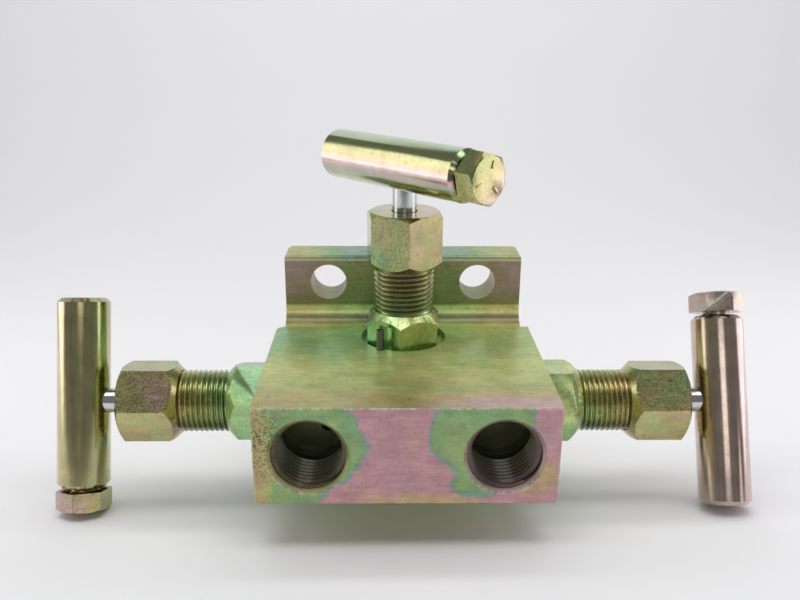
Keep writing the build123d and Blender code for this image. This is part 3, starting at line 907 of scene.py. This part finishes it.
edge_finish = plated("plated_edge", Matrix.Identity(4), worn_edge, bare_and_glint_of=rubbed, gloss=0.28)
print("film recipes ready")

# %% [markdown]
# ## Bonnets
# The bonnet screws into the block and holds the valve's works. What shows is a hexagon with its
# corners turned off at 45 degrees, a thread above it, and a scoop in the hexagon where the locking
# pin stands. The hexagon is cut by the envelope, scooped and bored, and the threaded neck is added
# as its own turned shell, because a union would spoil the thread's clean faces.

# %% Make the bonnets
HEX_FLATS = 22.225
HEX_LENGTH = 11.8
THREAD_RADIUS = 9.525
THREAD_ROOT = 8.6
THREAD_PITCH = 1.5875
BONNET_BOTTOM = -11.0
NUT_START = 26.8
PIN_REACH = 14.2
PIN_RISE = 8.7
PIN_SCOOP = 3.95
NEEDLE_BORE = 5.56
PACKING_BORE = 7.0
PACKING_FLOOR = 20.0
GUIDE_BORE = 3.9
GUIDE_START = 13.5


def make_bonnet(name):
    """Hexagon with its scoop, threaded neck and stepped bore."""
    crown = THREAD_RADIUS + 0.1
    wide = ENVELOPE_SHARE * HEX_FLATS
    piece = shape(f"{name}_bonnet_steel", hexagon(HEX_FLATS, 0, HEX_LENGTH))
    envelope = spun([(0, -1), (wide, -1), (wide, HEX_LENGTH + crown - wide),
                     (crown - 1, HEX_LENGTH + 1), (0, HEX_LENGTH + 1)])
    cut(piece, envelope, "INTERSECT")
    scoop = spun([(0, -1), (PIN_SCOOP, -1), (PIN_SCOOP, PIN_RISE), (0, PIN_RISE)], 48)
    way = math.radians(TURNS[name]["pin"] - TURNS[name]["bonnet"])
    bmesh.ops.translate(scoop, verts=scoop.verts,
                        vec=(PIN_REACH * math.cos(way), PIN_REACH * math.sin(way), 0))
    cut(piece, scoop)
    inner = THREAD_ROOT - 0.3
    cut(piece, spun([(0, -2), (inner, -2), (inner, HEX_LENGTH + 1.2), (0, HEX_LENGTH + 1.2)]))
    soften(piece, 0.22)
    neck = spun([
        (NEEDLE_BORE, BONNET_BOTTOM), (THREAD_RADIUS, BONNET_BOTTOM), (THREAD_RADIUS, -0.6),
        (THREAD_ROOT, -0.2), (THREAD_ROOT, BONNET_LENGTH - 1.0), (THREAD_ROOT - 0.6, BONNET_LENGTH),
        (PACKING_BORE, BONNET_LENGTH), (PACKING_BORE, PACKING_FLOOR), (GUIDE_BORE, PACKING_FLOOR),
        (GUIDE_BORE, GUIDE_START), (NEEDLE_BORE, GUIDE_START - 1.5),
    ])
    join(piece, neck)
    join(piece, ridge(THREAD_ROOT, THREAD_RADIUS, THREAD_PITCH, HEX_LENGTH - 0.4, NUT_START + 2.0))
    return piece


BONNET_FILM = {
    "left": sloping_film(0.37, (3, 0, 9), cloud=0.12, seed=0.31),
    "right": sloping_film(0.44, (3, -3, 7), cloud=0.12, seed=1.13),
    "top": sloping_film(0.42, (4, 4, 7), cloud=0.12, seed=2.71),
}


def bonnet_tone(tree, where):
    """How bright the metal under the film is, more so on the hexagon than along the thread."""
    height = add(tree, "SeparateXYZ", {0: where}).outputs[2]
    return stretch_range(tree, height, HEX_LENGTH / 1000, HEX_LENGTH / 1000 + 0.001, 1.55, 1.30)


# Direction of each bonnet thread's lit side. The side away from it gets painted shade.
LIT_SIDE = {
    "left": Vector((0, 0, 1.4)), "right": Vector((0, 0, 1.2)), "top": Vector((0, 0.75, 0)),
}
for name in frames:
    place = turned(name, "bonnet")
    lit = place.inverted().to_3x3() @ LIT_SIDE[name]
    finish = plated(f"{name}_bonnet_film", place, BONNET_FILM[name], along=(1, 1, 0.4), pits=0.28,
                    grime_and_shade_of=thread_roots_and_painted_shade(0.0086, 0.0094, HEX_LENGTH / 1000, lit),
                    tone_and_light_of=bonnet_tone, gloss=0.30, clear=0.5)
    fit(make_bonnet(name), place, "root", (finish, edge_finish), f"{name}_bonnet")

# %% [markdown]
# ## Packing nuts
# The nut squeezes the packing round the stem. Its outer end has the usual 30 degree turned
# chamfer, which leaves an arc on every flat, and its inner end is chamfered more steeply. The upper
# flats are peppered with pits where the bar stock was rough, so the pits are stronger on the side
# that faces up and to the front.

# %% Make the packing nuts
NUT_LENGTH = 18.0
NUT_CAP = 3.5
NUT_REAR = 9.9
NUT_FACE = 10.6
CHAMFER_SLOPE = 0.577
STEM_RADIUS = 3.8


def make_nut(name):
    """Hexagonal cap nut, chamfered at both ends, with its thread bore and stem hole."""
    start = NUT_START - NUT_ADVANCE[name]
    end = start + NUT_LENGTH
    wide = ENVELOPE_SHARE * HEX_FLATS
    piece = shape(f"{name}_packing_nut_steel", hexagon(HEX_FLATS, start, end))
    envelope = spun([
        (0, start - 1), (NUT_REAR - 1, start - 1), (wide, start + wide - NUT_REAR),
        (wide, end - (wide - NUT_FACE) * CHAMFER_SLOPE),
        (NUT_FACE - 1, end + CHAMFER_SLOPE), (0, end + CHAMFER_SLOPE),
    ])
    cut(piece, envelope, "INTERSECT")
    cut(piece, spun([(0, start - 1), (THREAD_RADIUS + 0.05, start - 1),
                     (THREAD_RADIUS + 0.05, end - NUT_CAP), (0, end - NUT_CAP)]))
    hole = STEM_RADIUS + 0.35
    cut(piece, spun([(0, end - 5), (hole, end - 5), (hole, end + 1), (0, end + 1)], 64))
    return soften(piece, 0.32, segments=3)


def pits_on_flat(normal, most):
    """Pits on the one flat that faces a direction in the nut's own frame."""
    def amount(tree, where):
        patchy = stretch_range(tree, grain(tree, where, 260, detail=3), 0.25, 0.5, 0.6, 1.0)
        surface = HEX_FLATS / 2000
        out = lean(tree, where, normal)
        flat = stretch_range(tree, out, surface - 0.0003, surface - 0.0001, 0.06, most)
        return reckon(tree, "MULTIPLY", flat, patchy)
    return amount


NUT_FILM = {
    "left": sloping_film(0.58, (3, -3, 0), cloud=0.24, streak=0.12, seed=0.77),
    "right": sloping_film(0.59, (3, 3, 0), cloud=0.24, streak=0.12, seed=1.91),
    "top": sloping_film(0.51, (0, 6, 3), cloud=0.24, streak=0.12, seed=3.17),
}
UPPER_FRONT = {"left": (0.866, 0.5, 0), "right": (0.866, -0.5, 0), "top": (0.866, -0.5, 0)}
PITTING = {"left": 1.0, "right": 1.0, "top": 0.35}
for name in frames:
    place = turned(name, "nut")
    finish = plated(f"{name}_nut_film", place, NUT_FILM[name], along=(1, 1, 0.25),
                    pits_of=pits_on_flat(UPPER_FRONT[name], PITTING[name]), gloss=0.25,
                    brush=0.00004, clear=0.6)
    fit(make_nut(name), place, "root", (finish, edge_finish), f"{name}_packing_nut")

# %% [markdown]
# ## Handle bars
# The T-bar is a length of drawn round bar, faced and chamfered, bored from below for the stem and
# tapped from one end for the clamping bolt. It is turned about its own axis and then laid along X.
# Drawing leaves long fine lines, so the noise is stretched along the bar.

# %% Make the handle bars
BAR_RADIUS = 7.94
BAR_HEIGHT = 57.5
BAR_PLAIN_END = 32.0
BAR_BOLT_END = 26.4
BAR_CHAMFER = 1.3
BOLT_HOLE = 4.73
SOCKET_TOP = 3.25
ALONG_X = Matrix.Rotation(math.radians(90), 4, "Y")


def bar_place(name):
    """Frame in the middle of a valve's bar, X along it towards the bolt."""
    height = (BAR_HEIGHT + STEM_LIFT[name]) / 1000
    return turned(name, "handle") @ Matrix.Translation((0, 0, height))


def make_bar(name):
    """Chamfered bar with its tapped end and its socket for the stem."""
    edge = BAR_RADIUS - BAR_CHAMFER
    bm = spun([
        (0, -BAR_PLAIN_END), (edge, -BAR_PLAIN_END), (BAR_RADIUS, BAR_CHAMFER - BAR_PLAIN_END),
        (BAR_RADIUS, BAR_BOLT_END - BAR_CHAMFER), (edge, BAR_BOLT_END),
        (BOLT_HOLE + 0.37, BAR_BOLT_END), (BOLT_HOLE, BAR_BOLT_END - 0.4), (BOLT_HOLE, 0), (0, 0),
    ], 144)
    bmesh.ops.transform(bm, matrix=ALONG_X, verts=bm.verts)
    piece = shape(f"{name}_handle_bar_steel", bm)
    socket = STEM_RADIUS + 0.05
    cut(piece, spun([(0, -9), (socket, -9), (socket, SOCKET_TOP), (0, SOCKET_TOP)], 64))
    return soften(piece, 0.45, segments=3)


def bar_end_painted_shadow(tree, where):
    """Painted shadow on the bar's end face, under the head of its bolt."""
    parts = add(tree, "SeparateXYZ", {0: where})
    flat = add(tree, "CombineXYZ", {1: parts.outputs[1], 2: parts.outputs[2]}).outputs[0]
    away = add(tree, "VectorMath", {0: flat}, operation="LENGTH").outputs["Value"]
    return reckon(tree, "MULTIPLY", stretch_range(tree, away, 0.0072, 0.0067, 0.0, 0.88),
                  stretch_range(tree, parts.outputs[0], 0.020, 0.021))


BAR_FILM = {
    "left": sloping_film(0.61, (0, 3, 3), cloud=0.07, streak=0.10, seed=0.5),
    "right": sloping_film(0.75, (0, -4, 3), cloud=0.05, streak=0.08, seed=1.5),
    "top": sloping_film(0.74, (0, 0, -34), cloud=0.05, streak=0.07, seed=2.5),
}
for name in frames:
    place = bar_place(name)
    finish = plated(f"{name}_bar_film", place, BAR_FILM[name], along=(0.04, 1, 1), pits=0.10,
                    grime_and_shade_of=bar_end_painted_shadow, gloss=0.17, clear=0.9)
    fit(make_bar(name), place, f"{name}_spindle", (finish,), f"{name}_handle_bar")

# %% [markdown]
# ## Clamping bolts
# An ordinary hexagon bolt holds each bar on its stem. Its head has a flat face with a chamfer, and
# three short raised strokes that tell its strength, which every bolt of that grade carries. The
# strokes are small bevelled blocks, turned to their places round the face.

# %% Make the bolts
BOLT_FLATS = 14.29
BOLT_RADIUS = 4.7
BOLT_ROOT = 3.95
UNDER_HEAD = 27.6
BOLT_HEAD = 6.1
BOLT_POINT = 3.82
STROKE_SIZE = (2.3, 0.7, 0.6)
STROKE_RADIUS = 4.4
STROKE_ANGLES = (30, 150, 270)


def stroke(angle, height):
    """One raised radial stroke on a bolt's face."""
    bm = bmesh.new()
    bmesh.ops.create_cube(bm, size=1)
    bmesh.ops.scale(bm, vec=STROKE_SIZE, verts=bm.verts)
    top = [edge for edge in bm.edges if all(corner.co.z > 0 for corner in edge.verts)]
    bmesh.ops.bevel(bm, geom=top, offset=0.1, offset_type="OFFSET", affect="EDGES", segments=2,
                    profile=0.5, material=-1)
    bmesh.ops.translate(bm, verts=bm.verts, vec=(STROKE_RADIUS, 0, height))
    turn = Matrix.Rotation(math.radians(angle), 3, "Z")
    bmesh.ops.rotate(bm, cent=(0, 0, 0), matrix=turn, verts=bm.verts)
    return bm


def make_bolt(name):
    """Hexagon bolt along X with its point against the stem."""
    top = UNDER_HEAD + BOLT_HEAD
    piece = shape(f"{name}_handle_bolt_steel", hexagon(BOLT_FLATS, UNDER_HEAD, top))
    wide = ENVELOPE_SHARE * BOLT_FLATS
    face = BOLT_FLATS / 2 * 0.96
    envelope = spun([
        (0, UNDER_HEAD - 1), (wide, UNDER_HEAD - 1), (wide, top - (wide - face) * CHAMFER_SLOPE),
        (face - 1, top + CHAMFER_SLOPE), (0, top + CHAMFER_SLOPE),
    ])
    cut(piece, envelope, "INTERSECT")
    soften(piece, 0.2)
    for angle in STROKE_ANGLES:
        join(piece, stroke(angle, top))
    buried = UNDER_HEAD + 0.4
    join(piece, spun([(0, BOLT_POINT), (BOLT_ROOT - 0.75, BOLT_POINT),
                      (BOLT_ROOT, BOLT_POINT + 0.78), (BOLT_ROOT, buried), (0, buried)], 64))
    join(piece, ridge(BOLT_ROOT, BOLT_RADIUS, THREAD_PITCH, 6.0, UNDER_HEAD - 0.5))
    turn = Matrix.Rotation(math.radians(TURNS[name]["bolt"]), 4, "Z")
    piece.data.transform(ALONG_X @ turn)
    return piece


BOLT_FILM = {
    "left": sloping_film(0.66, (0, 8, 8), cloud=0.10, seed=0.9),
    "right": sloping_film(0.74, (0, 6, -5), cloud=0.08, seed=1.9),
    "top": sloping_film(0.64, (0, 7, -7), cloud=0.08, seed=2.9),
}
for name in frames:
    place = bar_place(name)
    finish = plated(f"{name}_bolt_film", place, BOLT_FILM[name], pits=0.15, gloss=0.26)
    fit(make_bolt(name), place, f"{name}_spindle", (finish, edge_finish),
        f"{name}_handle_bolt")

# %% [markdown]
# ## Threads in the ports
# The pipe ports are tapped with a coarse pipe thread. Its ridges stand inward from the port's wall,
# so the same helper is called with a crest smaller than its root.

# %% Make the port threads
PORT_WALL = 10.4
PORT_CREST = 9.3
PORT_PITCH = 1.814
PORT_THREAD = (1.9, 16.2)
TO_THE_BACK = Matrix.Rotation(math.radians(-90), 4, "X")

for side, sign in (("left", -1), ("right", 1)):
    place = Matrix.Translation((sign * PORT_SPACING / 2, FRONT, 0)) @ TO_THE_BACK
    piece = shape(f"{side}_port_thread", ridge(PORT_WALL, PORT_CREST, PORT_PITCH, *PORT_THREAD))
    fit(piece, place, "root", (body_finish,))

# %% [markdown]
# ## Stainless stems and the small hidden parts
# The stems are polished stainless steel, the one bright silvery thing on the object. Polish leaves
# faint rings round the shank, so its noise is drawn out round the axis by reading only the height.
# The pins are dark spring steel, and the packing and the outlet rings are white fluoropolymer.
# These solids have the right shape already, so each only gets its finish.

# %% Finish the carried-over solids


STAINLESS_TINT = (0.66, 0.67, 0.66)
PIN_TINT = (0.20, 0.20, 0.18)
SEAL_TINT = (0.58, 0.58, 0.56)
POLYMER_TINT = (0.86, 0.85, 0.82)


def bright_steel(name, matrix, tint, gloss, rings=0.000004):
    """Polished or plain steel with faint rings round its axis."""
    made = bpy.data.materials.new(name)
    made.use_nodes = True
    tree = made.node_tree
    shader = tree.nodes["Principled BSDF"]
    where = local_place(tree, matrix)
    lines = grain(tree, squeezed(tree, where, (0.02, 0.02, 1)), 2600, detail=3, rough=0.6)
    cloud = grain(tree, where, 220, detail=3)
    shade = stretch_range(tree, cloud, 0.3, 0.7, 0.92, 1.04)
    tree.links.new(scaled(tree, tint, shade), shader.inputs["Base Color"])
    rough = reckon(tree, "MULTIPLY_ADD", lines, 0.12, gloss - 0.06)
    tree.links.new(rough, shader.inputs["Roughness"])
    shader.inputs["Metallic"].default_value = 1.0
    bump = add(tree, "Bump", {"Height": lines, "Distance": rings, "Strength": 0.6})
    tree.links.new(bump.outputs["Normal"], shader.inputs["Normal"])
    return made


def white_polymer(name):
    """Slightly waxy white fluoropolymer with faint cutting lines."""
    made = bpy.data.materials.new(name)
    made.use_nodes = True
    tree = made.node_tree
    shader = tree.nodes["Principled BSDF"]
    where = add(tree, "TexCoord").outputs["Object"]
    cloud = stretch_range(tree, grain(tree, where, 400, detail=3), 0.3, 0.7, 0.93, 1.0)
    tree.links.new(scaled(tree, POLYMER_TINT, cloud), shader.inputs["Base Color"])
    tree.links.new(reckon(tree, "MULTIPLY_ADD", cloud, 0.5, -0.08), shader.inputs["Roughness"])
    bump = add(tree, "Bump", {"Height": grain(tree, where, 2500, detail=2), "Distance": 0.00001})
    tree.links.new(bump.outputs["Normal"], shader.inputs["Normal"])
    return made


def repaint(node_name, finish):
    """Gives a carried-over solid its finish."""
    nodes[node_name].data.materials.clear()
    nodes[node_name].data.materials.append(finish)


polymer = white_polymer("white_fluoropolymer")
repaint("flange_rings", polymer)
for name, place in frames.items():
    stainless = bright_steel(f"{name}_stainless", place, STAINLESS_TINT, 0.16)
    for part in ("stem", "needle", "gland", "packing_washer"):
        repaint(f"{name}_{part}", stainless)
    repaint(f"{name}_lock_pin", bright_steel(f"{name}_pin_steel", place, PIN_TINT, 0.42, 0.00001))
    repaint(f"{name}_bonnet_seal", bright_steel(f"{name}_seal_steel", place, SEAL_TINT, 0.32))
    repaint(f"{name}_packing", polymer)
print("repainted", 2 + 7 * len(frames), "solids")
